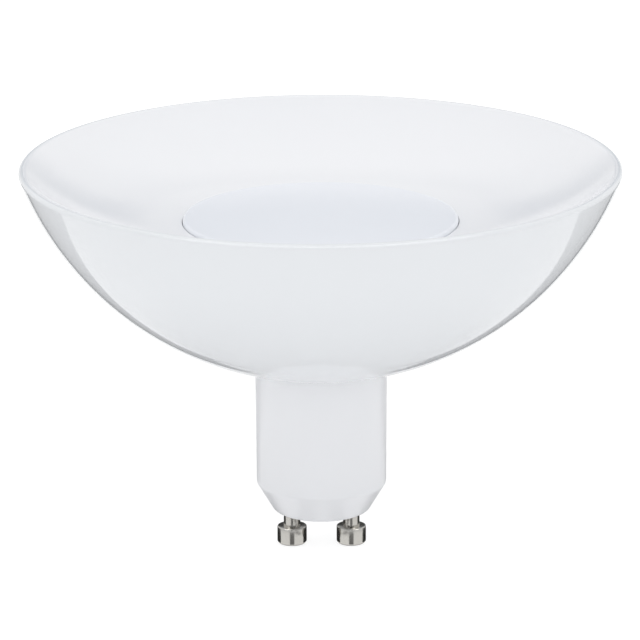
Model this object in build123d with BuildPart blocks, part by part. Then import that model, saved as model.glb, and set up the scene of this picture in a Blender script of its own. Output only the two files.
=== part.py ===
from build123d import *
from math import cos, radians, sin, sqrt
import os

# A wide reflector lamp with a twist-lock cap, dish upwards, in millimetres. The lamp's axis is
# the Z axis, and the contact pins' ends stand on the plane Z = 0.

# The bowl and the dish
overall_height = 65.7
rim_radius = 50.0
rim_slope = 69.3
bowl_wall = 1.6
lip_thickness = 0.9
lip_round = 0.6
lip_depth = 2.4
dish_depth = 9.4
dish_sheet = 1.2
dish_edge_land = 0.4
dish_edge_round = 0.7
dish_edge_break = 0.1
dish_gap = 0.08
neck_hole_gap = 0.1

# The diffuser
diffuser_radius = 22.95
diffuser_gap = 0.12
diffuser_proud = 0.7
diffuser_crown = 0.6
diffuser_wall = 1.5
diffuser_round = 0.6
flange_width = 2.05
flange_thickness = 1.0

# The neck and its bevelled base
neck_radius = 11.07
neck_draft = 0.17
base_radius = 7.9
base_height = 6.0
base_floor = 2.5
base_round = 1.6
bevel_height = 5.0
bevel_round = 1.1
spigot_step = 1.27
tube_wall = 1.3
neck_post_radius = 1.7
neck_post_blend = 0.5

# The contact pins
pin_spacing = 10.0
pin_head_radius = 2.475
pin_head_height = 3.05
pin_head_round = 0.45
pin_neck_radius = 1.4
pin_shank_radius = 1.05
pin_rivet_radius = 1.7
pin_rivet_height = 0.7
pin_tail_radius = 0.8
pin_tail_length = 2.1

# The heat spreader and what holds it
chamber_depth = 6.4
plate_thickness = 2.0
skirt_depth = 6.0
skirt_thickness = 1.5
skirt_gap = 0.1
wire_hole_radius = 3.0
post_radius = 2.6
post_count = 3
post_clearance = 0.5
catch_width = 4.0
catch_thickness = 1.4
catch_nib = 0.7
catch_height = 1.6
catch_clearance = 0.2
catch_flange_gap = 0.35

# The screws
post_screw_radius = 1.3
post_screw_head = 2.2
post_screw_length = 8.0
neck_screw_radius = 1.0
neck_screw_head = 2.0
neck_screw_length = 8.0
board_screw_radius = 1.25
board_screw_head = 2.25
board_screw_length = 4.5
screw_head_height = 1.5
recess_width = 0.7
recess_depth = 0.8
flush_recess_depth = 0.55
screw_head_round = 0.8
hole_end_gap = 0.5

# The light-emitting board
led_board_thickness = 1.6
led_board_gap = 0.8
led_board_hole = 2.5
chip_length = 3.5
chip_width = 2.8
chip_height = 0.7
chip_window = 1.15
chip_window_depth = 0.15
inner_ring_radius = 7.5
inner_ring_count = 6
outer_ring_edge = 3.5
outer_ring_count = 12

# The driver board
driver_thickness = 1.2
driver_length = 26.0
driver_edge_gap = 0.5
driver_stand = 5.75
guide_depth = 0.8
guide_width = 3.2
guide_gap = 0.05
guide_lift = 0.5

# What the driver board carries, with rises from its lower edge
package_gap = 0.1
package_taper = 5.0
lead_thickness = 0.2
lead_knee = 0.5
lead_foot = 0.75
component_lead_radius = 0.3
can_crimp = 0.3
can_groove_rise = 1.5
can_lead_reach = 1.4
can_lead_gap = 2.0
bridge_rise = 4.0
bridge_width = 4.7
bridge_length = 3.9
bridge_height = 1.6
bridge_pitch = 2.5
bridge_lead_width = 0.6
input_capacitor_rise = 9.5
input_capacitor_radius = 2.5
input_capacitor_length = 9.0
driver_chip_rise = 22.0
driver_chip_width = 4.9
driver_chip_length = 3.9
driver_chip_height = 1.5
driver_chip_pitch = 1.27
driver_chip_lead_width = 0.42
choke_rise = 12.8
choke_radius = 3.0
choke_waist = 1.4
choke_cheek = 0.9
choke_height = 5.0
resistor_rise = 6.8
resistor_radius = 1.4
resistor_length = 6.5
resistor_cap = 1.3
resistor_waist = 0.25
resistor_span = 9.5
output_capacitor_x = 3.3
output_capacitor_rise = 17.8
output_capacitor_radius = 2.5
output_capacitor_length = 8.0
diode_x = 3.5
diode_rise = 20.5
diode_width = 2.6
diode_length = 4.3
diode_height = 2.2
diode_lead_width = 1.4
small_x = 5.2
small_pitch = 3.2
small_width = 1.25
small_length = 2.0
small_height = 0.5

# The wires
wire_radius = 0.6
wire_bend = 0.8
pin_wire_offset = 1.5
pin_wire_rise = 3.5
led_wire_spread = 4.6
led_wire_drop = 1.6
led_wire_spacing = 2.2
led_wire_reach = 4.7
led_wire_rise = 1.5

# Heights that the pieces share
rim_z = overall_height
dish_floor_z = rim_z - dish_depth
plate_top_z = dish_floor_z - chamber_depth
seat_z = plate_top_z - plate_thickness
ledge_z = rim_z - lip_depth
base_z = base_height
floor_z = base_z + base_floor
bevel_z = base_z + bevel_height

# The bowl's outside is a sphere that leaves the lip's rounding at the rim's slope
bowl_sphere = (rim_radius - lip_round) / sin(radians(rim_slope)) + lip_round
bowl_centre_z = rim_z - lip_round + (bowl_sphere - lip_round) * cos(radians(rim_slope))
bowl_inner_sphere = bowl_sphere - bowl_wall
lip_inner_sphere = bowl_sphere - lip_thickness
dish_edge_sphere = lip_inner_sphere - dish_gap


def sphere_radius_at(z, sphere):
    """Distance from the axis of a sphere about the bowl's centre, at height z."""
    return sqrt(sphere ** 2 - (bowl_centre_z - z) ** 2)


def sphere_height_at(r, sphere):
    """Height of the underside of a sphere about the bowl's centre, at radius r."""
    return bowl_centre_z - sqrt(sphere ** 2 - r ** 2)


# Radii that the pieces share
spigot_radius = neck_radius - spigot_step
tube_radius = spigot_radius - tube_wall
bowl_hole_radius = spigot_radius + neck_hole_gap
dish_hole_radius = diffuser_radius + diffuser_gap
flange_radius = diffuser_radius + flange_width
post_circle = flange_radius + catch_flange_gap + catch_thickness / 2
led_board_radius = diffuser_radius - diffuser_wall - led_board_gap
outer_ring_radius = led_board_radius - outer_ring_edge
board_screw_circle = (inner_ring_radius + outer_ring_radius) / 2
neck_post_circle = tube_radius - neck_post_radius + neck_post_blend
neck_hole_depth = neck_screw_length - plate_thickness + hole_end_gap
neck_post_length = neck_hole_depth + hole_end_gap

os.makedirs("parts", exist_ok=True)


# The bowl shell: a spherical shell with a thin rounded lip, a ledge inside the lip for the dish,
# a hole for the neck and three posts that carry the heat spreader.
with BuildPart() as bowl_shell:
    post_height = seat_z - sphere_height_at(post_circle - post_radius, bowl_sphere)
    with Locations((0, 0, seat_z)):
        with PolarLocations(post_circle, post_count):
            Cylinder(post_radius, post_height, align=(Align.CENTER, Align.CENTER, Align.MAX))
    with Locations((0, 0, bowl_centre_z)):
        Sphere(bowl_sphere - bowl_wall / 2, mode=Mode.INTERSECT)
    with BuildSketch(Plane.XZ) as bowl_section:
        with BuildLine():
            lip_outer = (sphere_radius_at(rim_z, bowl_sphere), rim_z)
            lip_inner = (sphere_radius_at(rim_z, lip_inner_sphere), rim_z)
            hole_outer = (bowl_hole_radius, sphere_height_at(bowl_hole_radius, bowl_sphere))
            hole_inner = (bowl_hole_radius, sphere_height_at(bowl_hole_radius, bowl_inner_sphere))
            ledge_outer = (sphere_radius_at(ledge_z, lip_inner_sphere), ledge_z)
            ledge_inner = (sphere_radius_at(ledge_z, bowl_inner_sphere), ledge_z)
            RadiusArc(hole_outer, lip_outer, -bowl_sphere)
            Line(lip_outer, lip_inner)
            RadiusArc(lip_inner, ledge_outer, lip_inner_sphere)
            Line(ledge_outer, ledge_inner)
            RadiusArc(ledge_inner, hole_inner, bowl_inner_sphere)
            Line(hole_inner, hole_outer)
        make_face()
        fillet(bowl_section.vertices().sort_by_distance((*lip_outer, 0))[0], lip_round)
    revolve(axis=Axis.Z)
    with Locations((0, 0, seat_z)):
        with PolarLocations(post_circle, post_count):
            Hole(post_screw_radius, post_screw_length - plate_thickness + hole_end_gap)
bowl_shell.part.label = "bowl_shell"
export_step(bowl_shell.part, "parts/bowl_shell.step")


# The reflector dish: a shallow curve, level where it meets the diffuser, with a flange that sits
# on the lip's ledge and three hooks that catch under the heat spreader.
with BuildPart() as reflector_dish:
    edge_radius = sphere_radius_at(rim_z, dish_edge_sphere)
    land_radius = edge_radius - dish_edge_land
    flange_inner = sphere_radius_at(ledge_z, bowl_inner_sphere) - dish_gap
    flange_outer = sphere_radius_at(ledge_z, dish_edge_sphere)
    dish_seat_radius = flange_radius + diffuser_gap
    dish_under_z = dish_floor_z - dish_sheet
    with BuildSketch(Plane.XZ) as dish_section:
        with BuildLine():
            TangentArc((dish_hole_radius, dish_floor_z), (land_radius, rim_z), tangent=(1, 0))
            Line((land_radius, rim_z), (edge_radius, rim_z))
            RadiusArc((edge_radius, rim_z), (flange_outer, ledge_z), dish_edge_sphere)
            Line((flange_outer, ledge_z), (flange_inner, ledge_z))
            TangentArc((dish_seat_radius, dish_under_z), (flange_inner, ledge_z), tangent=(1, 0))
            Line((dish_seat_radius, dish_under_z), (dish_hole_radius, dish_under_z))
            Line((dish_hole_radius, dish_under_z), (dish_hole_radius, dish_floor_z))
        make_face()
        edge_corners = dish_section.vertices().group_by(Axis.Y)[-1].sort_by(Axis.X)
        fillet(edge_corners[0], dish_edge_round)
        fillet(edge_corners[-1], dish_edge_break)
    revolve(axis=Axis.Z)
    dish_arc_run = land_radius - dish_hole_radius
    dish_arc_radius = (dish_arc_run ** 2 + dish_depth ** 2) / (2 * dish_depth)
    catch_reach = post_circle + catch_thickness / 2 - dish_hole_radius
    catch_top_z = dish_floor_z + dish_arc_radius - sqrt(dish_arc_radius ** 2 - catch_reach ** 2)
    with PolarLocations(post_circle, post_count, start_angle=180 / post_count):
        with Locations((0, 0, catch_top_z - dish_sheet / 2)):
            catch_length = catch_top_z - dish_sheet / 2 - seat_z + catch_height
            Box(catch_thickness, catch_width, catch_length, align=(Align.CENTER, Align.CENTER, Align.MAX))
        with Locations((catch_thickness / 2, 0, seat_z)):
            Box(catch_nib, catch_width, catch_height, align=(Align.MIN, Align.CENTER, Align.MAX))
reflector_dish.part.label = "reflector_dish"
export_step(reflector_dish.part, "parts/reflector_dish.step")


# The diffuser: an opal cap with a crowned face, whose skirt stands on the heat spreader and whose
# flange is held down by the dish.
with BuildPart() as diffuser:
    shoulder_z = dish_floor_z + diffuser_proud
    crown_z = shoulder_z + diffuser_crown
    skirt_inner = diffuser_radius - diffuser_wall
    flange_z = dish_floor_z - dish_sheet
    flange_under_z = flange_z - flange_thickness
    ceiling_z = shoulder_z - diffuser_wall
    with BuildSketch(Plane.XZ) as diffuser_section:
        with BuildLine():
            TangentArc((0, crown_z), (diffuser_radius, shoulder_z), tangent=(1, 0))
            Polyline(
                (diffuser_radius, shoulder_z),
                (diffuser_radius, flange_z),
                (flange_radius, flange_z),
                (flange_radius, flange_under_z),
                (diffuser_radius, flange_under_z),
                (diffuser_radius, plate_top_z),
                (skirt_inner, plate_top_z),
                (skirt_inner, ceiling_z),
            )
            TangentArc((0, crown_z - diffuser_wall), (skirt_inner, ceiling_z), tangent=(1, 0))
            Line((0, crown_z - diffuser_wall), (0, crown_z))
        make_face()
        face_corner = diffuser_section.vertices().sort_by_distance((diffuser_radius, shoulder_z, 0))[0]
        fillet(face_corner, diffuser_round)
    revolve(axis=Axis.Z)
diffuser.part.label = "diffuser"
export_step(diffuser.part, "parts/diffuser.step")


# The neck housing: a drafted tube with a bevelled base, a spigot that passes into the bowl, guides
# for the driver board and two posts for the neck screws.
with BuildPart() as neck_housing:
    shoulder_outer = (neck_radius, sphere_height_at(neck_radius, bowl_sphere))
    shoulder_inner = (spigot_radius, sphere_height_at(spigot_radius, bowl_sphere))
    with BuildSketch(Plane.XZ):
        with BuildLine():
            Polyline(
                (0, floor_z),
                (0, base_z),
                (base_radius, base_z),
                (neck_radius - neck_draft, bevel_z),
                shoulder_outer,
            )
            RadiusArc(shoulder_outer, shoulder_inner, bowl_sphere)
            Polyline(
                shoulder_inner,
                (spigot_radius, seat_z),
                (tube_radius, seat_z),
                (tube_radius, floor_z),
                (0, floor_z),
            )
        make_face()
    revolve(axis=Axis.Z)
    round_edges = neck_housing.edges().filter_by(GeomType.CIRCLE)
    fillet(round_edges.filter_by_position(Axis.Z, bevel_z - 0.01, bevel_z + 0.01), bevel_round)
    fillet(neck_housing.edges().filter_by(GeomType.CIRCLE).sort_by(Axis.Z)[0], base_round)
    with Locations((0, neck_post_circle, seat_z), (0, -neck_post_circle, seat_z)):
        Cylinder(neck_post_radius, neck_post_length, align=(Align.CENTER, Align.CENTER, Align.MAX))
    guide_z = floor_z + pin_rivet_height + guide_lift
    driver_base_z = floor_z + driver_stand
    driver_top_z = driver_base_z + driver_length
    driver_half_width = tube_radius - driver_edge_gap
    guide_inner = driver_half_width - guide_depth
    with PolarLocations(guide_inner, 2):
        with Locations((0, 0, guide_z)):
            guide_run = (spigot_radius + tube_radius) / 2 - guide_inner
            Box(guide_run, guide_width, driver_top_z - guide_z, align=(Align.MIN, Align.CENTER, Align.MIN))
    with Locations((0, 0, driver_base_z)):
        Box(
            2 * (driver_half_width + guide_gap),
            driver_thickness + 2 * guide_gap,
            driver_length,
            align=(Align.CENTER, Align.CENTER, Align.MIN),
            mode=Mode.SUBTRACT,
        )
    with Locations((0, neck_post_circle, seat_z), (0, -neck_post_circle, seat_z)):
        Hole(neck_screw_radius, neck_hole_depth)
    with Locations((pin_spacing / 2, 0, floor_z), (-pin_spacing / 2, 0, floor_z)):
        Hole(pin_shank_radius, base_floor)
neck_housing.part.label = "neck_housing"
export_step(neck_housing.part, "parts/neck_housing.step")


# A contact pin: a headed pin whose shank passes through the base and is riveted over inside.
def contact_pin(side, name):
    x = side * pin_spacing / 2
    rivet_z = floor_z + pin_rivet_height
    tail_z = floor_z + pin_tail_length
    with BuildPart() as pin:
        with BuildSketch(Plane(origin=(x, 0, 0), x_dir=(1, 0, 0), z_dir=(0, -1, 0))) as section:
            with BuildLine():
                Polyline(
                    (0, 0),
                    (pin_head_radius, 0),
                    (pin_head_radius, pin_head_height),
                    (pin_neck_radius, pin_head_height),
                    (pin_neck_radius, base_z),
                    (pin_shank_radius, base_z),
                    (pin_shank_radius, floor_z),
                    (pin_rivet_radius, floor_z),
                    (pin_rivet_radius - pin_rivet_height / 2, rivet_z),
                    (pin_tail_radius, rivet_z),
                    (pin_tail_radius, tail_z),
                    (0, tail_z),
                    close=True,
                )
            make_face()
            head_corners = section.vertices().sort_by(Axis.X)[-2:].sort_by(Axis.Z)
            fillet(head_corners[0], pin_head_round)
            chamfer(head_corners[1], pin_head_round / 3)
        revolve(axis=Axis((x, 0, 0), (0, 0, 1)))
    pin.part.label = name
    export_step(pin.part, f"parts/{name}.step")


contact_pin(-1, "contact_pin_left")
contact_pin(1, "contact_pin_right")


# The heat spreader: a pressed plate whose skirt follows the inside of the bowl, with slots for the
# dish's hooks, clearance for the posts and holes for the screws and the wires.
with BuildPart() as heat_spreader:
    skirt_sphere = bowl_inner_sphere - skirt_gap
    skirt_inner_sphere = skirt_sphere - skirt_thickness
    skirt_z = plate_top_z - skirt_depth
    with BuildSketch(Plane.XZ):
        with BuildLine():
            plate_corner = (sphere_radius_at(plate_top_z, skirt_sphere), plate_top_z)
            skirt_outer = (sphere_radius_at(skirt_z, skirt_sphere), skirt_z)
            skirt_foot = (sphere_radius_at(skirt_z, skirt_inner_sphere), skirt_z)
            plate_under = (sphere_radius_at(seat_z, skirt_inner_sphere), seat_z)
            Polyline(plate_under, (wire_hole_radius, seat_z), (wire_hole_radius, plate_top_z), plate_corner)
            RadiusArc(plate_corner, skirt_outer, skirt_sphere)
            Line(skirt_outer, skirt_foot)
            RadiusArc(skirt_foot, plate_under, -skirt_inner_sphere)
        make_face()
    revolve(axis=Axis.Z)
    with Locations((0, 0, seat_z)):
        with PolarLocations(post_circle, post_count):
            Cylinder(
                post_radius + post_clearance,
                skirt_depth,
                align=(Align.CENTER, Align.CENTER, Align.MAX),
                mode=Mode.SUBTRACT,
            )
    with PolarLocations(post_circle, post_count, start_angle=180 / post_count):
        with Locations((catch_thickness / 2, 0, plate_top_z)):
            Box(
                catch_thickness + catch_nib + catch_clearance,
                catch_width + 2 * catch_clearance,
                skirt_depth,
                align=(Align.MAX, Align.CENTER, Align.MAX),
                mode=Mode.SUBTRACT,
            )
    with Locations((0, 0, plate_top_z)):
        with PolarLocations(post_circle, post_count):
            Hole(post_screw_radius, plate_thickness)
        with PolarLocations(board_screw_circle, post_count, start_angle=90):
            Hole(board_screw_radius, plate_thickness)
        with PolarLocations(neck_post_circle, 2, start_angle=90):
            CounterSinkHole(neck_screw_radius, neck_screw_head, plate_thickness, 90)
heat_spreader.part.label = "heat_spreader"
export_step(heat_spreader.part, "parts/heat_spreader.step")


# A ring of pan-head screws with crossed recesses, seated on a plane.
def pan_screws(name, z, circle, start_angle, head_radius, radius, length):
    with BuildPart() as screws:
        with Locations((0, 0, z)):
            with PolarLocations(circle, post_count, start_angle=start_angle):
                Cylinder(head_radius, screw_head_height, align=(Align.CENTER, Align.CENTER, Align.MIN))
        fillet(screws.edges().group_by(Axis.Z)[-1], screw_head_round)
        with Locations((0, 0, z)):
            with PolarLocations(circle, post_count, start_angle=start_angle):
                Cylinder(radius, length, align=(Align.CENTER, Align.CENTER, Align.MAX))
        with Locations((0, 0, z + screw_head_height)):
            with PolarLocations(circle, post_count, start_angle=start_angle):
                for turn in (0, 90):
                    Box(
                        head_radius,
                        recess_width,
                        recess_depth,
                        rotation=(0, 0, turn),
                        align=(Align.CENTER, Align.CENTER, Align.MAX),
                        mode=Mode.SUBTRACT,
                    )
    screws.part.label = name
    export_step(screws.part, f"parts/{name}.step")


led_top_z = plate_top_z + led_board_thickness
pan_screws(
    "spreader_screws",
    plate_top_z,
    post_circle,
    0,
    post_screw_head,
    post_screw_radius,
    post_screw_length,
)
pan_screws(
    "board_screws",
    led_top_z,
    board_screw_circle,
    90,
    board_screw_head,
    board_screw_radius,
    board_screw_length,
)


# The neck screws: countersunk, flush with the top of the heat spreader.
with BuildPart() as neck_screws:
    head_depth = neck_screw_head - neck_screw_radius
    with PolarLocations(neck_post_circle, 2, start_angle=90):
        with Locations((0, 0, plate_top_z)):
            Cylinder(neck_screw_radius, neck_screw_length, align=(Align.CENTER, Align.CENTER, Align.MAX))
            Cone(
                neck_screw_radius,
                neck_screw_head,
                head_depth,
                align=(Align.CENTER, Align.CENTER, Align.MAX),
            )
            Box(
                neck_screw_head,
                recess_width,
                flush_recess_depth,
                align=(Align.CENTER, Align.CENTER, Align.MAX),
                mode=Mode.SUBTRACT,
            )
neck_screws.part.label = "neck_screws"
export_step(neck_screws.part, "parts/neck_screws.step")


# The light-emitting board and the packages on it, in two rings.
with BuildPart() as led_board:
    with BuildSketch(Plane.XY.offset(plate_top_z)):
        Circle(led_board_radius)
        Circle(led_board_hole, mode=Mode.SUBTRACT)
        with PolarLocations(board_screw_circle, post_count, start_angle=90):
            Circle(board_screw_radius, mode=Mode.SUBTRACT)
    extrude(amount=led_board_thickness)
led_board.part.label = "led_board"
export_step(led_board.part, "parts/led_board.step")

with BuildPart() as led_chips:
    rings = (
        (inner_ring_radius, inner_ring_count, 0),
        (outer_ring_radius, outer_ring_count, 180 / outer_ring_count),
    )
    for ring_radius, ring_count, ring_start in rings:
        with BuildSketch(Plane.XY.offset(led_top_z)):
            with PolarLocations(ring_radius, ring_count, start_angle=ring_start):
                Rectangle(chip_width, chip_length)
        extrude(amount=chip_height)
        with BuildSketch(Plane.XY.offset(led_top_z + chip_height)):
            with PolarLocations(ring_radius, ring_count, start_angle=ring_start):
                RegularPolygon(chip_window, 8)
        extrude(amount=-chip_window_depth, mode=Mode.SUBTRACT)
led_chips.part.label = "led_chips"
export_step(led_chips.part, "parts/led_chips.step")


# The driver board, upright in the neck's guides. Its front face looks towards -Y.
with BuildPart() as driver_board:
    with Locations((0, 0, driver_base_z)):
        Box(
            2 * driver_half_width,
            driver_thickness,
            driver_length,
            align=(Align.CENTER, Align.CENTER, Align.MIN),
        )
    fillet(driver_board.edges().filter_by(Axis.Y), driver_thickness / 2)
driver_board.part.label = "driver_board"
export_step(driver_board.part, "parts/driver_board.step")


def front_spot(x, rise):
    """A plane on the driver board's front face, x across and a rise above its lower edge."""
    return Plane(
        origin=(x, -driver_thickness / 2, driver_base_z + rise), x_dir=(1, 0, 0), z_dir=(0, -1, 0)
    )


def back_spot(x, rise):
    """A plane on the driver board's back face, x across and a rise above its lower edge."""
    return Plane(
        origin=(x, driver_thickness / 2, driver_base_z + rise), x_dir=(-1, 0, 0), z_dir=(0, 1, 0)
    )


# A flat moulded package with bent leads along two sides.
def leaded_package(name, spot, width, length, height, lead_count, lead_pitch, lead_width):
    lead_plane = Plane(origin=spot.origin, x_dir=spot.y_dir, z_dir=spot.x_dir)
    lead_top = (height + lead_thickness) / 2
    knee = length / 2 + lead_knee
    with BuildPart() as package:
        with BuildSketch(spot.offset(package_gap)):
            Rectangle(width, length)
        extrude(amount=height - package_gap, taper=package_taper)
        for number in range(lead_count):
            shift = (number - (lead_count - 1) / 2) * lead_pitch
            for side in (-1, 1):
                with BuildSketch(lead_plane.offset(shift)):
                    with BuildLine():
                        Polyline(
                            (side * (length / 2 - lead_knee), lead_top),
                            (side * (knee + lead_thickness), lead_top),
                            (side * (knee + lead_thickness), lead_thickness),
                            (side * (knee + lead_foot), lead_thickness),
                            (side * (knee + lead_foot), 0),
                            (side * knee, 0),
                            (side * knee, lead_top - lead_thickness),
                            (side * (length / 2 - lead_knee), lead_top - lead_thickness),
                            close=True,
                        )
                    make_face()
                extrude(amount=lead_width / 2, both=True)
    package.part.label = name
    export_step(package.part, f"parts/{name}.step")


leaded_package(
    "bridge_rectifier",
    back_spot(0, bridge_rise),
    bridge_width,
    bridge_length,
    bridge_height,
    2,
    bridge_pitch,
    bridge_lead_width,
)
leaded_package(
    "driver_chip",
    back_spot(0, driver_chip_rise),
    driver_chip_width,
    driver_chip_length,
    driver_chip_height,
    4,
    driver_chip_pitch,
    driver_chip_lead_width,
)
leaded_package(
    "output_diode",
    front_spot(diode_x, diode_rise),
    diode_width,
    diode_length,
    diode_height,
    1,
    0,
    diode_lead_width,
)


# An electrolytic capacitor lying along the board, its leads bent down into it.
def can_capacitor(name, spot, radius, length):
    can_height = radius + package_gap
    can_plane = Plane(origin=spot.from_local_coords((0, 0, can_height)), x_dir=spot.x_dir, z_dir=spot.z_dir)
    with BuildPart() as can:
        with BuildSketch(can_plane):
            with BuildLine():
                Polyline(
                    (0, 0),
                    (radius - can_crimp, 0),
                    (radius, can_crimp),
                    (radius, can_groove_rise - can_crimp),
                    (radius - can_crimp, can_groove_rise),
                    (radius, can_groove_rise + can_crimp),
                    (radius, length - can_crimp),
                    (radius - can_crimp, length),
                    (0, length),
                    close=True,
                )
            make_face()
        revolve(axis=Axis(can_plane.origin, can_plane.y_dir))
        for side in (-1, 1):
            with BuildLine() as lead:
                FilletPolyline(
                    spot.from_local_coords((side * can_lead_gap / 2, 0, can_height)),
                    spot.from_local_coords((side * can_lead_gap / 2, -can_lead_reach, can_height)),
                    spot.from_local_coords((side * can_lead_gap / 2, -can_lead_reach, 0)),
                    radius=2 * component_lead_radius,
                )
            with BuildSketch(lead.line ^ 0):
                Circle(component_lead_radius)
            sweep(path=lead.line)
    can.part.label = name
    export_step(can.part, f"parts/{name}.step")


can_capacitor(
    "input_capacitor",
    back_spot(0, input_capacitor_rise),
    input_capacitor_radius,
    input_capacitor_length,
)
can_capacitor(
    "output_capacitor",
    front_spot(-output_capacitor_x, output_capacitor_rise),
    output_capacitor_radius,
    output_capacitor_length,
)


# The choke: a ferrite drum standing on the board, wound with enamelled wire.
choke_spot = front_spot(0, choke_rise)
choke_axis = Axis(choke_spot.origin, choke_spot.z_dir)
choke_section = Plane(origin=choke_spot.origin, x_dir=choke_spot.x_dir, z_dir=-choke_spot.y_dir)
with BuildPart() as choke_core:
    with BuildSketch(choke_section):
        with BuildLine():
            Polyline(
                (0, 0),
                (choke_radius, 0),
                (choke_radius, choke_cheek),
                (choke_waist, choke_cheek),
                (choke_waist, choke_height - choke_cheek),
                (choke_radius, choke_height - choke_cheek),
                (choke_radius, choke_height),
                (0, choke_height),
                close=True,
            )
        make_face()
    revolve(axis=choke_axis)
choke_core.part.label = "choke_core"
export_step(choke_core.part, "parts/choke_core.step")

with BuildPart() as choke_winding:
    with BuildSketch(choke_spot.offset(choke_cheek)):
        Circle(choke_radius - choke_cheek / 2)
        Circle(choke_waist, mode=Mode.SUBTRACT)
    extrude(amount=choke_height - 2 * choke_cheek)
choke_winding.part.label = "choke_winding"
export_step(choke_winding.part, "parts/choke_winding.step")


# The fusible resistor: a waisted body lying across the board between its two bent leads.
resistor_spot = front_spot(0, resistor_rise)
resistor_height = resistor_radius + package_gap
with BuildPart() as fusible_resistor:
    resistor_centre = resistor_spot.from_local_coords((0, 0, resistor_height))
    half = resistor_length / 2
    with BuildSketch(Plane(origin=resistor_centre, x_dir=resistor_spot.x_dir, z_dir=-resistor_spot.y_dir)):
        with BuildLine():
            Polyline(
                (-half, 0),
                (-half, resistor_radius - resistor_waist),
                (-half + resistor_waist, resistor_radius),
                (-half + resistor_cap, resistor_radius),
                (-half + resistor_cap + resistor_waist, resistor_radius - resistor_waist),
                (half - resistor_cap - resistor_waist, resistor_radius - resistor_waist),
                (half - resistor_cap, resistor_radius),
                (half - resistor_waist, resistor_radius),
                (half, resistor_radius - resistor_waist),
                (half, 0),
                close=True,
            )
        make_face()
    revolve(axis=Axis(resistor_centre, resistor_spot.x_dir))
    for side in (-1, 1):
        with BuildLine() as lead:
            FilletPolyline(
                resistor_spot.from_local_coords((side * half, 0, resistor_height)),
                resistor_spot.from_local_coords((side * resistor_span / 2, 0, resistor_height)),
                resistor_spot.from_local_coords((side * resistor_span / 2, 0, 0)),
                radius=2 * component_lead_radius,
            )
        with BuildSketch(lead.line ^ 0):
            Circle(component_lead_radius)
        sweep(path=lead.line)
fusible_resistor.part.label = "fusible_resistor"
export_step(fusible_resistor.part, "parts/fusible_resistor.step")


# The small resistors, on both faces of the board.
with BuildPart() as chip_resistors:
    resistor_spots = (
        front_spot(small_x, choke_rise - small_pitch),
        front_spot(small_x, choke_rise),
        front_spot(-small_x, choke_rise),
        back_spot(small_x, input_capacitor_rise + small_pitch),
        back_spot(-small_x, input_capacitor_rise + small_pitch),
        back_spot(-small_x, input_capacitor_rise + 2 * small_pitch),
    )
    for small_spot in resistor_spots:
        with BuildSketch(small_spot):
            Rectangle(small_width, small_length)
        extrude(amount=small_height)
chip_resistors.part.label = "chip_resistors"
export_step(chip_resistors.part, "parts/chip_resistors.step")


# An insulated wire swept along straight runs joined by round bends.
def insulated_wire(name, points):
    with BuildPart() as wire:
        with BuildLine() as route:
            FilletPolyline(*points, radius=wire_bend)
        with BuildSketch(route.line ^ 0):
            Circle(wire_radius)
        sweep(path=route.line)
    wire.part.label = name
    export_step(wire.part, f"parts/{name}.step")


# The wires from the contact pins' tails to the front of the driver board.
def pin_wire(name, side):
    x = side * pin_spacing / 2
    tail_z = floor_z + pin_tail_length
    board_y = -driver_thickness / 2
    wire_y = board_y - pin_wire_offset
    solder_z = driver_base_z + pin_wire_rise
    bend_z = tail_z + 1.5 * wire_bend
    insulated_wire(
        name,
        [
            (x, 0, tail_z),
            (x, 0, bend_z),
            (x, wire_y, bend_z - wire_y),
            (x, wire_y, solder_z),
            (x, board_y, solder_z),
        ],
    )


pin_wire("pin_wire_left", -1)
pin_wire("pin_wire_right", 1)


# The wires from the back of the driver board, up through the plate and onto the round board.
def led_wire(name, side):
    board_y = driver_thickness / 2
    wire_y = board_y + pin_wire_offset
    start_x = side * led_wire_spread
    middle_x = side * led_wire_spacing / 2
    solder_z = driver_top_z - led_wire_drop
    insulated_wire(
        name,
        [
            (start_x, board_y, solder_z),
            (start_x, wire_y, solder_z),
            (start_x, wire_y, driver_top_z),
            (middle_x, board_y, seat_z - wire_bend),
            (middle_x, board_y, led_top_z + led_wire_rise),
            (side * led_wire_reach, board_y, led_top_z + led_wire_rise),
            (side * led_wire_reach, board_y, led_top_z),
        ],
    )


led_wire("led_wire_red", -1)
led_wire("led_wire_black", 1)
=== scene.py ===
from math import atan2, cos, pi, radians, sin, sqrt

import bmesh
import bpy
from mathutils import Matrix, Vector


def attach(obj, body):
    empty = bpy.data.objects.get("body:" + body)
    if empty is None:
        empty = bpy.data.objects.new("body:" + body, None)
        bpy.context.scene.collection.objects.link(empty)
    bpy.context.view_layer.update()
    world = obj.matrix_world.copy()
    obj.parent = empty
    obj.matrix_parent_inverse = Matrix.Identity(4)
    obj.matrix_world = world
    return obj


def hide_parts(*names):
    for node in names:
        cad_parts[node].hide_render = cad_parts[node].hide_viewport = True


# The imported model, in metres: the lamp stands on its pins at z = 0 with its dish upwards. The
# sections after the staging follow the lamp as it is put together, from the bowl to the wires.
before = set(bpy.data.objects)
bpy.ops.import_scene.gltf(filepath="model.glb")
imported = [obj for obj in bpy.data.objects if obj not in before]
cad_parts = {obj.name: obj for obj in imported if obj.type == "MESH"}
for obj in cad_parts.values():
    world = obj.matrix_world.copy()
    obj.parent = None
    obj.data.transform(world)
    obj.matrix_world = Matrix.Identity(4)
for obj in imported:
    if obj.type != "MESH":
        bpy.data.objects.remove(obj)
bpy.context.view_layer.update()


# The camera: a long lens a little above the lamp and rolled by a hair, so that the rim's ellipse
# and the pins fall where the photograph has them.
view_distance = 0.9
view_elevation = radians(16.143)
view_target = Vector((-0.00016, 0.0, 0.03909))
view_roll = radians(-0.2)
lens_data = bpy.data.cameras.new("long_lens")
lens_data.sensor_width = 36.0
lens_data.lens = 302.95
lens_data.clip_start = 0.05
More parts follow.
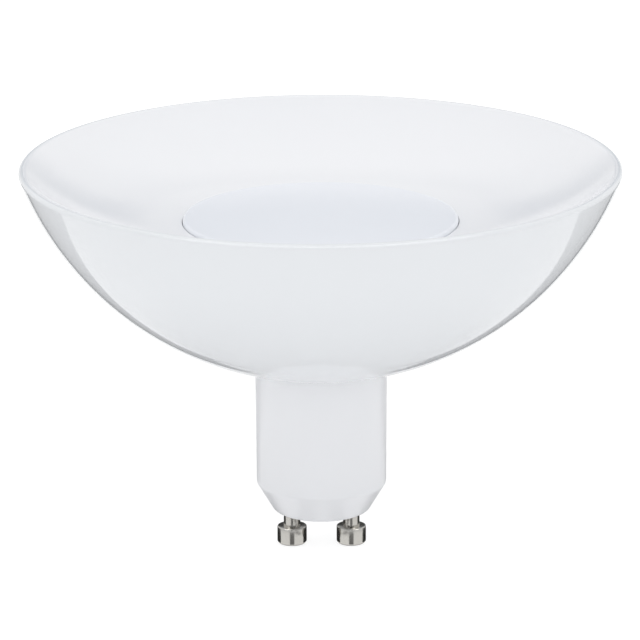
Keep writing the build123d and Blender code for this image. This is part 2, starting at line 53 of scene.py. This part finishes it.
lens_data.clip_end = 50.0
long_lens = bpy.data.objects.new("long_lens", lens_data)
bpy.context.scene.collection.objects.link(long_lens)
view_offset = Vector((0.0, -cos(view_elevation), sin(view_elevation))) * view_distance
long_lens.matrix_world = (
    Matrix.Translation(view_target + view_offset)
    @ Matrix.Rotation(pi / 2 - view_elevation, 4, "X")
    @ Matrix.Rotation(view_roll, 4, "Z")
)
bpy.context.scene.camera = long_lens
bpy.context.scene.view_settings.view_transform = "Standard"


# The studio floor: a wide sheet of white paper. The camera sees it glow, with the lamp's own soft
# shadow left in a share of it. The lamp's gloss sees lit paper with a faint glow, and its
# underside sees lit paper with a glow that lights it from below. Both carry a painted shadow close
# under the lamp.
class Shade:
    """One output of a node. Sums on it add Math nodes, and node() adds any other node."""

    def __init__(self, tree, out=None):
        self.tree = tree
        self.out = out

    def node(self, kind, output=0, settings=None, stops=(), sockets=None):
        """Adds a node: its settings and the grey stops of a ramp first, and then its sockets."""
        made = self.tree.nodes.new(kind)
        for name, value in (settings or {}).items():
            setattr(made, name, value)
        if stops:
            elements = made.color_ramp.elements
            while len(elements) < len(stops):
                elements.new(0.5)
            for element, (place, level) in zip(elements, stops):
                element.position = place
                element.color = (level, level, level, 1.0)
        for name, value in (sockets or {}).items():
            if isinstance(value, Shade):
                self.tree.links.new(value.out, made.inputs[name])
            else:
                made.inputs[name].default_value = value
        return Shade(self.tree, made.outputs[output] if made.outputs else None)

    def math(self, operation, first, second=0.0, third=0.0):
        terms = {0: first, 1: second, 2: third}
        return self.node("ShaderNodeMath", settings={"operation": operation}, sockets=terms)

    def __add__(self, other):
        return self.math("ADD", self, other)

    __radd__ = __add__

    def __sub__(self, other):
        return self.math("SUBTRACT", self, other)

    def __rsub__(self, other):
        return self.math("SUBTRACT", other, self)

    def __mul__(self, other):
        return self.math("MULTIPLY", self, other)

    __rmul__ = __mul__

    def least(self, other):
        return self.math("MINIMUM", self, other)

    def tint(self, first, second):
        """A colour between two, each a colour or a shade, by this factor."""
        first, second = [end if isinstance(end, Shade) else (*end, 1.0) for end in (first, second)]
        return self.node(
            "ShaderNodeMix",
            output=2,
            settings={"data_type": "RGBA"},
            sockets={0: self, 6: first, 7: second},
        )


def bare_material(name):
    """A material with an empty tree, and the shade that adds nodes to it."""
    made = bpy.data.materials.new(name)
    made.use_nodes = True
    made.node_tree.nodes.clear()
    return made, Shade(made.node_tree)


def finish_surface(shade, surface):
    shade.node("ShaderNodeOutputMaterial", sockets={"Surface": surface})


def object_place(shade):
    return shade.node("ShaderNodeTexCoord", output="Object")


def lamp_distance(shade):
    """How far a point of a staged sheet is from the lamp's foot, in metres."""
    return shade.node(
        "ShaderNodeVectorMath",
        output="Value",
        settings={"operation": "LENGTH"},
        sockets={0: object_place(shade)},
    )


floor_size = 8.0
floor_white = 0.88
camera_glow = 0.86
camera_share = 0.24
gloss_glow = 0.06
bounce_glow = 0.17
painted_shadow_bounce_share = 1.6
painted_shadow_depth = 0.25
painted_shadow_full = 0.035
painted_shadow_end = 0.06
paper_scale = 900.0
paper_relief = 0.0001

floor_mesh = bpy.data.meshes.new("studio_floor")
studio_floor = bpy.data.objects.new("studio_floor", floor_mesh)
bpy.context.scene.collection.objects.link(studio_floor)
grid = bmesh.new()
bmesh.ops.create_grid(grid, x_segments=8, y_segments=8, size=floor_size / 2)
grid.to_mesh(floor_mesh)
grid.free()

floor_material, floor = bare_material("studio_floor")
fibres = floor.node(
    "ShaderNodeTexNoise",
    sockets={"Vector": object_place(floor), "Scale": paper_scale, "Detail": 2.0},
)
relief = floor.node(
    "ShaderNodeBump", sockets={"Strength": 0.05, "Distance": paper_relief, "Height": fibres}
)
paper = floor.node(
    "ShaderNodeBsdfDiffuse",
    sockets={"Color": (floor_white, floor_white, floor_white, 1.0), "Normal": relief},
)
shadow_paper = floor.node(
    "ShaderNodeBsdfDiffuse", sockets={"Color": (camera_share, camera_share, camera_share, 1.0)}
)
seen_glow = floor.node("ShaderNodeEmission", sockets={"Strength": camera_glow})
seen_floor = floor.node("ShaderNodeAddShader", sockets={0: seen_glow, 1: shadow_paper})
per_100_mm = 10.0
# A painted shadow under the lamp, by the distance from its foot: it dims the paper that gloss sees
# and the glow that lights the underside.
painted_shadow_under_lamp = floor.node(
    "ShaderNodeValToRGB",
    stops=[(painted_shadow_full * per_100_mm, painted_shadow_depth), (painted_shadow_end * per_100_mm, 0.0)],
    sockets={0: lamp_distance(floor) * per_100_mm},
)
mirrored_glow = floor.node("ShaderNodeEmission", sockets={"Strength": gloss_glow})
mirrored_paper = floor.node("ShaderNodeAddShader", sockets={0: mirrored_glow, 1: paper})
mirrored_floor = floor.node("ShaderNodeMixShader", sockets={0: painted_shadow_under_lamp, 1: mirrored_paper})
bounce = floor.node(
    "ShaderNodeEmission",
    sockets={"Strength": bounce_glow - painted_shadow_under_lamp * (painted_shadow_bounce_share * bounce_glow)},
)
bright_paper = floor.node("ShaderNodeAddShader", sockets={0: bounce, 1: paper})
glossy_ray = floor.node("ShaderNodeLightPath", output="Is Glossy Ray")
camera_ray = floor.node("ShaderNodeLightPath", output="Is Camera Ray")
lit_floor = floor.node(
    "ShaderNodeMixShader", sockets={0: glossy_ray, 1: bright_paper, 2: mirrored_floor}
)
whole_floor = floor.node(
    "ShaderNodeMixShader", sockets={0: camera_ray, 1: lit_floor, 2: seen_floor}
)
finish_surface(floor, whole_floor)
floor_mesh.materials.append(floor_material)


# The painted shade behind the lamp: a grey card and a black strip laid low on each side behind the
# lamp, out of the camera's sight. Only gloss sees them, as painted reflections of shade on the
# floor:
# they draw the grey edges of the bowl's sides.
mm = 0.001


def hang_card(name, level, corners, full_from=0.0, reach=0.0):
    """A card through corners in millimetres, which only gloss sees: a painted reflection.

    It is dimmer nearer to the lamp than full_from, a painted shade, and only seen from within
    reach.
    """
    card_mesh = bpy.data.meshes.new(name)
    card = bpy.data.objects.new(name, card_mesh)
    bpy.context.scene.collection.objects.link(card)
    flat = bmesh.new()
    outline = [
        bmesh.ops.create_vert(flat, co=Vector(corner) * mm)["vert"][0] for corner in corners
    ]
    bmesh.ops.contextual_create(flat, geom=outline)
    flat.to_mesh(card_mesh)
    flat.free()
    material, shade = bare_material(name)
    if full_from:
        level = (lamp_distance(shade) * (level / full_from)).least(level)
    surface = shade.node("ShaderNodeEmission", sockets={"Strength": level})
    if reach:
        path = shade.node("ShaderNodeLightPath", output="Ray Length")
        too_far = shade.math("GREATER_THAN", path, reach)
        clear = shade.node("ShaderNodeBsdfTransparent")
        surface = shade.node("ShaderNodeMixShader", sockets={0: too_far, 1: surface, 2: clear})
    finish_surface(shade, surface)
    card_mesh.materials.append(material)
    card.visible_camera = False
    card.visible_diffuse = False
    card.visible_transmission = False
    card.visible_shadow = False


def laid(outline, height, side=1, middle=0.0):
    """The corners of a card that lies flat, from its outline in plan."""
    return [(middle + side * x, y, height) for x, y in outline]


painted_shade_card_grey = 0.34
painted_shade_full_from = 165 * mm
grey_card_height = 0.6
strip_height = 0.8
grey_card_front = [(14, 14), (27, 29), (36, 35), (45, 40), (60, 46), (75, 48), (112, 44), (260, 60)]
shared_edge = [(14, 32), (26, 48), (40, 61), (54, 79), (68, 107), (85, 143), (95, 163), (260, 420)]
strip_rear = [(272, 404), (103, 148), (93, 127), (74, 94), (58, 68), (42, 51), (27, 39), (15, 25)]
# Painted shade: a grey card and a black strip on each side, seen only in gloss.
for side, name in ((-1, "left"), (1, "right")):
    grey_corners = laid(grey_card_front + shared_edge[::-1], grey_card_height, side)
    black_corners = laid(shared_edge + strip_rear, strip_height, side)
    hang_card("painted_shade_grey_" + name, painted_shade_card_grey, grey_corners, full_from=painted_shade_full_from)
    hang_card("painted_shade_black_" + name, 0.0, black_corners)


# The painted reflections at the pins: a white sheet in front, a dim wedge before the middle of
# each pin and black behind them. Seen only in gloss and from close by, they draw the bands and
# dark edges
# of the plating: the sheet a painted highlight, the wedges, the black and the two upright cards
# painted shade.
def stood(half_width, y, foot, top):
    """The corners of a card that stands upright across the view."""
    low = [(-half_width, y, foot), (half_width, y, foot)]
    high = [(half_width, y, top), (-half_width, y, top)]
    return low + high


pin_middle = 5
plate_reach = 22 * mm
screen_reach = 16 * mm
hood_reach = 18 * mm
painted_highlight_sheet_white = 1.0
painted_shade_wedge_grey = 0.2
painted_shade_rear_black = 0.03
painted_shade_screen_black = 0.05
sheet_height = 0.2
wedge_height = 0.3
rear_height = 0.4
sheet = [(-22, -20), (22, -20), (22, 3), (-22, 3)]
wedge = [(-0.4, -2.5), (0.4, -2.5), (5.6, -19.0), (-5.6, -19.0)]
rear = [(-1.9, -1.6), (-17.6, 1.1), (-12, 12), (12, 12), (17.6, 1.1), (1.9, -1.6)]
# Painted highlight from the white sheet, painted shade from the wedges and the rear cards.
hang_card("pin_painted_highlight_sheet", painted_highlight_sheet_white, laid(sheet, sheet_height), reach=plate_reach)
for side, name in ((-1, "left"), (1, "right")):
    wedge_corners = laid(wedge, wedge_height, middle=side * pin_middle)
    rear_corners = laid(rear, rear_height, middle=side * pin_middle)
    hang_card("pin_painted_shade_wedge_" + name, painted_shade_wedge_grey, wedge_corners, reach=plate_reach)
    hang_card("pin_painted_shade_rear_" + name, painted_shade_rear_black, rear_corners, reach=plate_reach)
# Painted shade: two dark upright cards, behind and before the pins.
screen_corners = stood(half_width=9, y=9.5, foot=3.5, top=8)
hood_corners = stood(half_width=12, y=-12, foot=4.5, top=10)
hang_card("pin_painted_shade_screen", painted_shade_screen_black, screen_corners, reach=screen_reach)
hang_card("pin_painted_shade_hood", painted_shade_screen_black, hood_corners, reach=hood_reach)


# The soft lamps: one broad lamp overhead and a little behind, and a small one at each side of
# the front. They light the lamp's plastic and stay out of its gloss.
lamp_aim = Vector((0.0, 0.0, 0.03))


def soft_lamp(name, place, width, height, power):
    lamp_data = bpy.data.lights.new(name, "AREA")
    lamp_data.shape = "RECTANGLE"
    lamp_data.size = width
    lamp_data.size_y = height
    lamp_data.energy = power
    lamp = bpy.data.objects.new(name, lamp_data)
    bpy.context.scene.collection.objects.link(lamp)
    turn = (lamp_aim - Vector(place)).to_track_quat("-Z", "Y")
    lamp.matrix_world = Matrix.Translation(place) @ turn.to_matrix().to_4x4()
    lamp.visible_camera = False
    lamp.visible_glossy = False


soft_lamp("lamp_above", (0.0, 0.15, 1.3), width=1.5, height=1.3, power=4.4)
soft_lamp("lamp_front_left", (-0.9, -1.1, 0.55), width=0.6, height=0.6, power=0.9)
soft_lamp("lamp_front_right", (0.9, -1.1, 0.55), width=0.6, height=0.6, power=1.0)


# The room: white walls, a shade dimmer just above the level, with a dark blue gap straight before
# and behind that shows in the gloss of the dish and the bowl. A bright box high at the front is
# seen by gloss alone: a painted highlight that draws the bright line on the near lip.

# Each stop is a place and a level. The place is the sine of the angle above the level, or for
# the stops across the share of the way that points sideways.
wall_stops = [(0.12, 0.88), (0.17, 0.72), (0.26, 0.85), (0.35, 1.0), (0.45, 0.84)]
gap_rise_stops = [
    (0.0, 0.25),
    (0.1, 0.4),
    (0.16, 1.0),
    (0.29, 1.0),
    (0.38, 0.5),
    (0.5, 0.5),
    (0.65, 0.0),
]
gap_across_stops = [
    (0.0, 0.55),
    (0.03, 0.6),
    (0.045, 0.65),
    (0.06, 0.85),
    (0.12, 1.0),
    (0.2, 0.7),
    (0.34, 0.4),
    (0.46, 0.0),
]
gap_blue = (0.08, 0.13, 0.21)
painted_highlight_box_white = (4.0, 4.0, 4.0)
highlight_box_height = 0.68
highlight_box_half_height = 0.2
highlight_box_front = -0.2
highlight_box_half_width = 0.75
seen_white = (1.0, 1.0, 1.0)

world = bpy.data.worlds.new("white_room")
bpy.context.scene.world = world
world.use_nodes = True
world.node_tree.nodes.clear()
room = Shade(world.node_tree)
way = room.node("ShaderNodeTexCoord", output="Generated")
way_across, way_back, way_up = [
    room.node("ShaderNodeSeparateXYZ", output=axis, sockets={"Vector": way}) for axis in "XYZ"
]
way_aside = room.math("ABSOLUTE", way_across)
walls = room.node("ShaderNodeValToRGB", stops=wall_stops, sockets={0: way_up})
gap_rise = room.node("ShaderNodeValToRGB", stops=gap_rise_stops, sockets={0: way_up})
gap_across = room.node("ShaderNodeValToRGB", stops=gap_across_stops, sockets={0: way_aside})
# A painted highlight: a bright box high at the front that only gloss sees.
painted_highlight_box = (
    room.math("COMPARE", way_up, highlight_box_height, highlight_box_half_height)
    * room.math("LESS_THAN", way_back, highlight_box_front)
    * room.math("LESS_THAN", way_aside, highlight_box_half_width)
    * room.node("ShaderNodeLightPath", output="Is Glossy Ray")
)
gapped_walls = (gap_rise * gap_across).tint(walls, gap_blue)
lit_walls = painted_highlight_box.tint(gapped_walls, painted_highlight_box_white)
seen_walls = room.node("ShaderNodeLightPath", output="Is Camera Ray").tint(lit_walls, seen_white)
room_light = room.node("ShaderNodeBackground", sockets={"Color": seen_walls, "Strength": 1.0})
room.node("ShaderNodeOutputWorld", sockets={"Surface": room_light})


# The outer bowl: a deep glossy white moulding with a thin rounded lip. Its gloss is that of a
# polished mould, with the slightest wave in it. Inside, a ledge carries the dish and three posts
# take the screws of the plate; the neck comes in through the hole in its middle.
def moulded_plastic(name, colour, roughness, wave=0.0, grain=0.0):
    """Plastic with faint drift in its colour and gloss, a slow wave and a fine grain.

    The wave, over some 20 mm, and the grain, of some 0.4 mm, are heights in millimetres.
    """
    made, shade = bare_material(name)
    place = object_place(shade)
    gloss_drift = 0.25 * roughness
    duller = tuple(0.985 * level for level in colour)
    drift, speck, slow = [
        shade.node(
            "ShaderNodeTexNoise", sockets={"Vector": place, "Scale": scale, "Detail": detail}
        )
        for scale, detail in ((60.0, 3.0), (2600.0, 2.0), (45.0, 0.0))
    ]
    height = slow * wave + speck * grain
    plastic = shade.node(
        "ShaderNodeBsdfPrincipled",
        sockets={
            "Base Color": (drift * 0.7 + speck * 0.3).tint(duller, colour),
            "Roughness": roughness + (drift - 0.5) * gloss_drift,
            "IOR": 1.5,
            "Normal": shade.node(
                "ShaderNodeBump", sockets={"Strength": 1.0, "Distance": mm, "Height": height}
            ),
        },
    )
    finish_surface(shade, plastic)
    return made


class Turning:
    """A profile drawn in the XZ plane, tip by tip, and then spun about an upright axis."""

    def __init__(self, x, z):
        self.mesh = bmesh.new()
        self.tip = bmesh.ops.create_vert(self.mesh, co=(x, 0.0, z))["vert"][0]

    def line(self, x, z):
        grown = bmesh.ops.extrude_vert_indiv(self.mesh, verts=[self.tip])
        self.tip = grown["verts"][0]
        self.tip.co = (x, 0.0, z)

    def swing(self, x, z, turn, steps):
        """An arc about (x, z), its turn in radians from +X towards +Z."""
        grown = bmesh.ops.spin(
            self.mesh,
            geom=[self.tip],
            cent=(x, 0.0, z),
            axis=(0.0, -1.0, 0.0),
            angle=turn,
            steps=steps,
        )
        self.tip = [end for end in grown["geom_last"] if isinstance(end, bmesh.types.BMVert)][0]

    def soften(self, x, z, setback, steps):
        """Rounds the corner of the profile that lies nearest to (x, z)."""
        corner = min(self.mesh.verts, key=lambda vert: (vert.co - Vector((x, 0.0, z))).length)
        bmesh.ops.bevel(
            self.mesh,
            geom=[corner],
            offset=setback,
            offset_type="OFFSET",
            segments=steps,
            profile=0.5,
            affect="VERTICES",
            material=-1,
        )

    def spin(self, steps, centre=(0.0, 0.0, 0.0)):
        merge_gap = 1e-7
        bmesh.ops.remove_doubles(self.mesh, verts=self.mesh.verts, dist=merge_gap)
        bmesh.ops.spin(
            self.mesh,
            geom=self.mesh.verts[:] + self.mesh.edges[:],
            cent=centre,
            axis=(0.0, 0.0, 1.0),
            angle=2 * pi,
            steps=steps,
            use_merge=True,
        )
        bmesh.ops.remove_doubles(self.mesh, verts=self.mesh.verts, dist=merge_gap)
        bmesh.ops.recalc_face_normals(self.mesh, faces=self.mesh.faces)


sharp_angle = radians(40)


def turn_about_axis(mesh, angle):
    matrix = Matrix.Rotation(angle, 3, "Z")
    bmesh.ops.rotate(mesh, cent=(0.0, 0.0, 0.0), matrix=matrix, verts=mesh.verts)


def add_piece(name, meshes, material, node):
    """One object from finished meshes, on the lamp's body, in place of its CAD node."""
    data = bpy.data.meshes.new(name)
    whole = bmesh.new()
    for mesh in meshes:
        part = bpy.data.meshes.new("part")
        mesh.to_mesh(part)
        whole.from_mesh(part)
        bpy.data.meshes.remove(part)
        mesh.free()
    for face in whole.faces:
        face.smooth = True
    for edge in whole.edges:
        edge.smooth = len(edge.link_faces) < 2 or edge.calc_face_angle() < sharp_angle
    whole.to_mesh(data)
    whole.free()
    data.materials.append(material)
    piece = bpy.data.objects.new(name, data)
    bpy.context.scene.collection.objects.link(piece)
    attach(piece, "root")
    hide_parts(node)


bowl_gloss = moulded_plastic("bowl_gloss", (0.8, 0.818, 0.84), 0.05, wave=0.004)

steps_round = 256
bowl_sphere = 53.409 * mm
bowl_centre = 83.766 * mm
bowl_wall = 1.6 * mm
lip_thickness = 0.9 * mm
lip_round = 0.6 * mm
rim_height = 65.7 * mm
ledge_height = 63.3 * mm
neck_hole = 9.9 * mm
seat_height = 47.9 * mm
post_circle = 26.05 * mm
post_outer = 2.6 * mm
post_inner = 1.3 * mm


def across(height, sphere):
    """Radius at a height of a sphere about the bowl's centre."""
    return sqrt(sphere**2 - (bowl_centre - height) ** 2)


def below(radius, sphere):
    """Height at a radius of the underside of a sphere about the bowl's centre."""
    return bowl_centre - sqrt(sphere**2 - radius**2)


def slope_at(height, sphere):
    """Angle, from +X, of the point at a height on such a sphere."""
    return atan2(height - bowl_centre, across(height, sphere))


inner_sphere = bowl_sphere - bowl_wall
lip_sphere = bowl_sphere - lip_thickness
hole_angle = slope_at(below(neck_hole, bowl_sphere), bowl_sphere)
inner_hole_angle = slope_at(below(neck_hole, inner_sphere), inner_sphere)
inner_ledge_angle = slope_at(ledge_height, inner_sphere)
lip_drop = slope_at(ledge_height, lip_sphere) - slope_at(rim_height, lip_sphere)
round_height = rim_height - lip_round
round_middle = sqrt((bowl_sphere - lip_round) ** 2 - (bowl_centre - round_height) ** 2)
lip_angle = atan2(round_height - bowl_centre, round_middle)
shell = Turning(neck_hole, below(neck_hole, bowl_sphere))
shell.swing(0.0, bowl_centre, lip_angle - hole_angle, steps=96)
shell.swing(round_middle, round_height, pi / 2 - lip_angle, steps=16)
shell.line(across(rim_height, lip_sphere), rim_height)
shell.swing(0.0, bowl_centre, lip_drop, steps=6)
shell.line(across(ledge_height, inner_sphere), ledge_height)
shell.swing(0.0, bowl_centre, inner_hole_angle - inner_ledge_angle, steps=64)
shell.line(neck_hole, below(neck_hole, bowl_sphere))
shell.spin(steps_round)
bowl_parts = [shell.mesh]
post_foot = below(post_circle + post_outer, inner_sphere) - bowl_wall / 3
for number in range(3):
    post = Turning(post_circle + post_inner, seat_height)
    post.line(post_circle + post_outer, seat_height)
    post.line(post_circle + post_outer, post_foot)
    post.line(post_circle + post_inner, post_foot)
    post.line(post_circle + post_inner, seat_height)
    post.spin(steps=32, centre=(post_circle, 0.0, 0.0))
    turn_about_axis(post.mesh, number * 2 * pi / 3)
    bowl_parts.append(post.mesh)
add_piece("outer_bowl", bowl_parts, bowl_gloss, "bowl_shell")


# The heat spreader: a round plate with a skirt, pressed from plain aluminium sheet. It sits on the
# bowl's three posts, carries the light's board and spreads its warmth.
def plain_metal(name, colour, roughness, streak=0.0):
    """Bare or plated metal with drift in its colour and gloss and a height of streaks in mm."""
    made, shade = bare_material(name)
    gloss_drift = 0.4 * roughness
    duller = tuple(0.9 * level for level in colour)
    drift = shade.node(
        "ShaderNodeTexNoise",
        sockets={"Vector": object_place(shade), "Scale": 300.0, "Detail": 3.0},
    )
    metal = shade.node(
        "ShaderNodeBsdfPrincipled",
        sockets={
            "Base Color": drift.tint(duller, colour),
            "Roughness": roughness + (drift - 0.5) * gloss_drift,
            "Metallic": 1.0,
            "Normal": shade.node(
                "ShaderNodeBump",
                sockets={"Strength": 1.0, "Distance": mm, "Height": drift * streak},
            ),
        },
    )
    finish_surface(shade, metal)
    return made


def dress(material, *names):
    """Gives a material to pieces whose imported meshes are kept."""
    for name in names:
        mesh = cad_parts[name].data
        mesh.materials.clear()
        mesh.materials.append(material)


dress(plain_metal("spreader_aluminium", (0.77, 0.78, 0.79), 0.35, streak=0.01), "heat_spreader")


# The screws: headed and rolled from steel wire, with bright zinc plate. Three hold the plate on
# the bowl's posts, three hold the light's board on the plate, and two draw the neck against it.
screw_zinc = plain_metal("screw_zinc", (0.62, 0.63, 0.66), 0.28, streak=0.01)
dress(screw_zinc, "spreader_screws", "neck_screws", "board_screws")


# The light's board: a round aluminium-core board under a white mask, screwed to the plate.
# The light-emitting packages soldered on it show a window of yellow phosphor.
dress(moulded_plastic("board_white", (0.85, 0.85, 0.83), 0.4, grain=0.003), "led_board")
dress(moulded_plastic("phosphor_yellow", (0.85, 0.62, 0.12), 0.5, grain=0.004), "led_chips")


# The reflector dish: a shallow moulding set flush in the bowl's lip, smooth and a shade less
# glossy. Its edge rolls over into the lip, and three hooks hold it down under the plate.
dish_gloss = moulded_plastic("dish_gloss", (0.86, 0.868, 0.89), 0.16, wave=0.004)

dish_floor = 56.3 * mm
dish_hole = 23.07 * mm
dish_sheet = 1.2 * mm
dish_seat = 25.12 * mm
dish_land = 0.4 * mm
dish_fit = lip_sphere - 0.003 * mm
dish_roll = 0.7 * mm
flange_gap = 0.08 * mm
hook_length = 10.0 * mm
hook_width = 4.0 * mm
hook_depth = 1.4 * mm
hook_nib = 0.7 * mm
hook_height = 1.6 * mm

corner_radius = across(rim_height, dish_fit)
land = corner_radius - dish_land
rise = rim_height - dish_floor
run = land - dish_hole
sweep_radius = (run**2 + rise**2) / (2 * rise)
flange_inner = across(ledge_height, inner_sphere) - flange_gap
under_height = dish_floor - dish_sheet
under_rise = ledge_height - under_height
under_run = flange_inner - dish_seat
under_radius = (under_run**2 + under_rise**2) / (2 * under_rise)
under_turn = -2 * atan2(under_rise, under_run)
dish = Turning(dish_hole, dish_floor)
dish.swing(dish_hole, dish_floor + sweep_radius, 2 * atan2(rise, run), steps=96)
dish.line(corner_radius, rim_height)
dish.line(across(ledge_height, dish_fit), ledge_height)
dish.line(flange_inner, ledge_height)
dish.swing(dish_seat, under_height + under_radius, under_turn, steps=48)
dish.line(dish_hole, under_height)
dish.line(dish_hole, dish_floor)
dish.soften(land, rim_height, setback=dish_roll * rise / run, steps=10)
dish.spin(steps_round)
dish_parts = [dish.mesh]


def add_block(mesh, size, place):
    corners = bmesh.ops.create_cube(mesh, size=1.0)["verts"]
    bmesh.ops.scale(mesh, vec=size, verts=corners)
    bmesh.ops.translate(mesh, vec=place, verts=corners)


hook_foot = seat_height - hook_height
for number in range(3):
    hook = bmesh.new()
    shank_place = (post_circle, 0.0, hook_foot + hook_length / 2)
    nib_place = (post_circle + (hook_depth + hook_nib) / 2, 0.0, seat_height - hook_height / 2)
    add_block(hook, (hook_depth, hook_width, hook_length), shank_place)
    add_block(hook, (hook_nib, hook_width, hook_height), nib_place)
    turn_about_axis(hook, (number + 0.5) * 2 * pi / 3)
    dish_parts.append(hook)
add_piece("light_dish", dish_parts, dish_gloss, "reflector_dish")


# The diffuser: a moulded opal cap that scatters the light, smooth with a soft sheen. Its crowned
# face ends in a rounded edge. Its skirt stands on the plate, and the dish holds its flange down.
diffuser_opal = moulded_plastic("diffuser_opal", (0.815, 0.838, 0.885), 0.25, wave=0.002)

cap_radius = 22.95 * mm
cap_shoulder = 57.0 * mm
cap_crown = 57.6 * mm
cap_wall = 1.5 * mm
cap_round = 0.6 * mm
cap_foot = 49.9 * mm
cap_flange = 25.0 * mm
flange_top = 55.1 * mm
flange_under = 54.1 * mm

crown_rise = cap_crown - cap_shoulder
crown_sphere = (cap_radius**2 + crown_rise**2) / (2 * crown_rise)
cap = Turning(0.0, cap_crown)
cap.swing(0.0, cap_crown - crown_sphere, -2 * atan2(crown_rise, cap_radius), steps=24)
for x, z in (
    (cap_radius, flange_top),
    (cap_flange, flange_top),
    (cap_flange, flange_under),
    (cap_radius, flange_under),
    (cap_radius, cap_foot),
    (cap_radius - cap_wall, cap_foot),
    (cap_radius - cap_wall, cap_shoulder - cap_wall),
    (0.0, cap_crown - cap_wall),
):
    cap.line(x, z)
cap.soften(cap_radius, cap_shoulder, setback=cap_round, steps=8)
cap.spin(steps=192)
add_piece("opal_cap", [cap.mesh], diffuser_opal, "diffuser")


# The neck housing: a tube moulded with a slight draft and a bevelled base, satin from the fine
# eroded grain of its mould. Its spigot goes up through the bowl's hole, and two screws draw it
# against the plate. Guides inside hold the driver's board.
neck_satin = moulded_plastic("neck_satin", (0.875, 0.88, 0.9), 0.32, wave=0.002, grain=0.002)
dress(neck_satin, "neck_housing")


# The contact pins: turned brass with bright nickel plate, a broad head on a thin neck for the
# holder's keyhole slots. Each is pressed through the base and riveted over inside.
pin_nickel = plain_metal("pin_nickel", (0.6, 0.585, 0.55), 0.2, streak=0.003)

pin_spacing = 10.0 * mm
head_radius = 2.475 * mm
head_height = 3.05 * mm
head_round = 0.45 * mm
head_break = 0.15 * mm
pin_neck = 1.4 * mm
pin_shank = 1.05 * mm
pin_rivet = 1.7 * mm
rivet_taper = 0.35 * mm
pin_tail = 0.8 * mm
base_height = 6.0 * mm
base_inside = 8.5 * mm
rivet_top = 9.2 * mm
tail_top = 10.6 * mm

for side, node in ((-1, "contact_pin_left"), (1, "contact_pin_right")):
    middle = side * pin_spacing / 2
    pin = Turning(middle, 0.0)
    for out, height in (
        (head_radius, 0.0),
        (head_radius, head_height),
        (pin_neck, head_height),
        (pin_neck, base_height),
        (pin_shank, base_height),
        (pin_shank, base_inside),
        (pin_rivet, base_inside),
        (pin_rivet - rivet_taper, rivet_top),
        (pin_tail, rivet_top),
        (pin_tail, tail_top),
        (0.0, tail_top),
    ):
        pin.line(middle + out, height)
    pin.soften(middle + head_radius, 0.0, setback=head_round, steps=6)
    pin.soften(middle + head_radius, head_height, setback=head_break, steps=3)
    pin.spin(steps=96, centre=(middle, 0.0, 0.0))
    add_piece(node.replace("contact", "plated"), [pin.mesh], pin_nickel, node)


# The driver's board: glass fibre under a green mask, upright in the neck's guides. It turns the
# mains into the steady current that the light's board needs.
dress(moulded_plastic("board_green", (0.02, 0.16, 0.05), 0.3, grain=0.004), "driver_board")


# The driver's rectifier, chip, diode and chip resistors: moulded black packages with tinned leads
# or ends, soldered flat on the faces of the board.
package_black = moulded_plastic("package_black", (0.02, 0.02, 0.022), 0.5, grain=0.006)
dress(package_black, "bridge_rectifier", "driver_chip", "output_diode", "chip_resistors")


# The driver's two capacitors: drawn aluminium cans in a dark shrunk-on sleeve. They lie along the
# board, with their leads bent down into it.
can_sleeve = moulded_plastic("can_sleeve", (0.02, 0.025, 0.05), 0.3, wave=0.01)
dress(can_sleeve, "input_capacitor", "output_capacitor")


# The choke: a drum of ground ferrite that stands on the driver's board, wound with enamelled
# copper wire.
dress(moulded_plastic("ferrite_grey", (0.05, 0.05, 0.055), 0.6, grain=0.01), "choke_core")
dress(plain_metal("winding_copper", (0.7, 0.26, 0.1), 0.3, streak=0.02), "choke_winding")


# The fusible resistor: a wound ceramic rod, waisted between its caps, under a dull green
# flameproof coat. It lies across the driver's board between its two bent leads.
dress(moulded_plastic("resistor_coat", (0.2, 0.38, 0.3), 0.5, grain=0.008), "fusible_resistor")


# The wires: stranded copper in smooth silicone insulation, soldered at both ends. The white ones
# run from the pins to the driver, and the red and the black one from the driver to the light.
for colour_name, colour, names in (
    ("wire_white", (0.75, 0.75, 0.73), ("pin_wire_left", "pin_wire_right")),
    ("wire_red", (0.5, 0.02, 0.015), ("led_wire_red",)),
    ("wire_black", (0.02, 0.02, 0.02), ("led_wire_black",)),
):
    dress(moulded_plastic(colour_name, colour, 0.45, grain=0.003), *names)
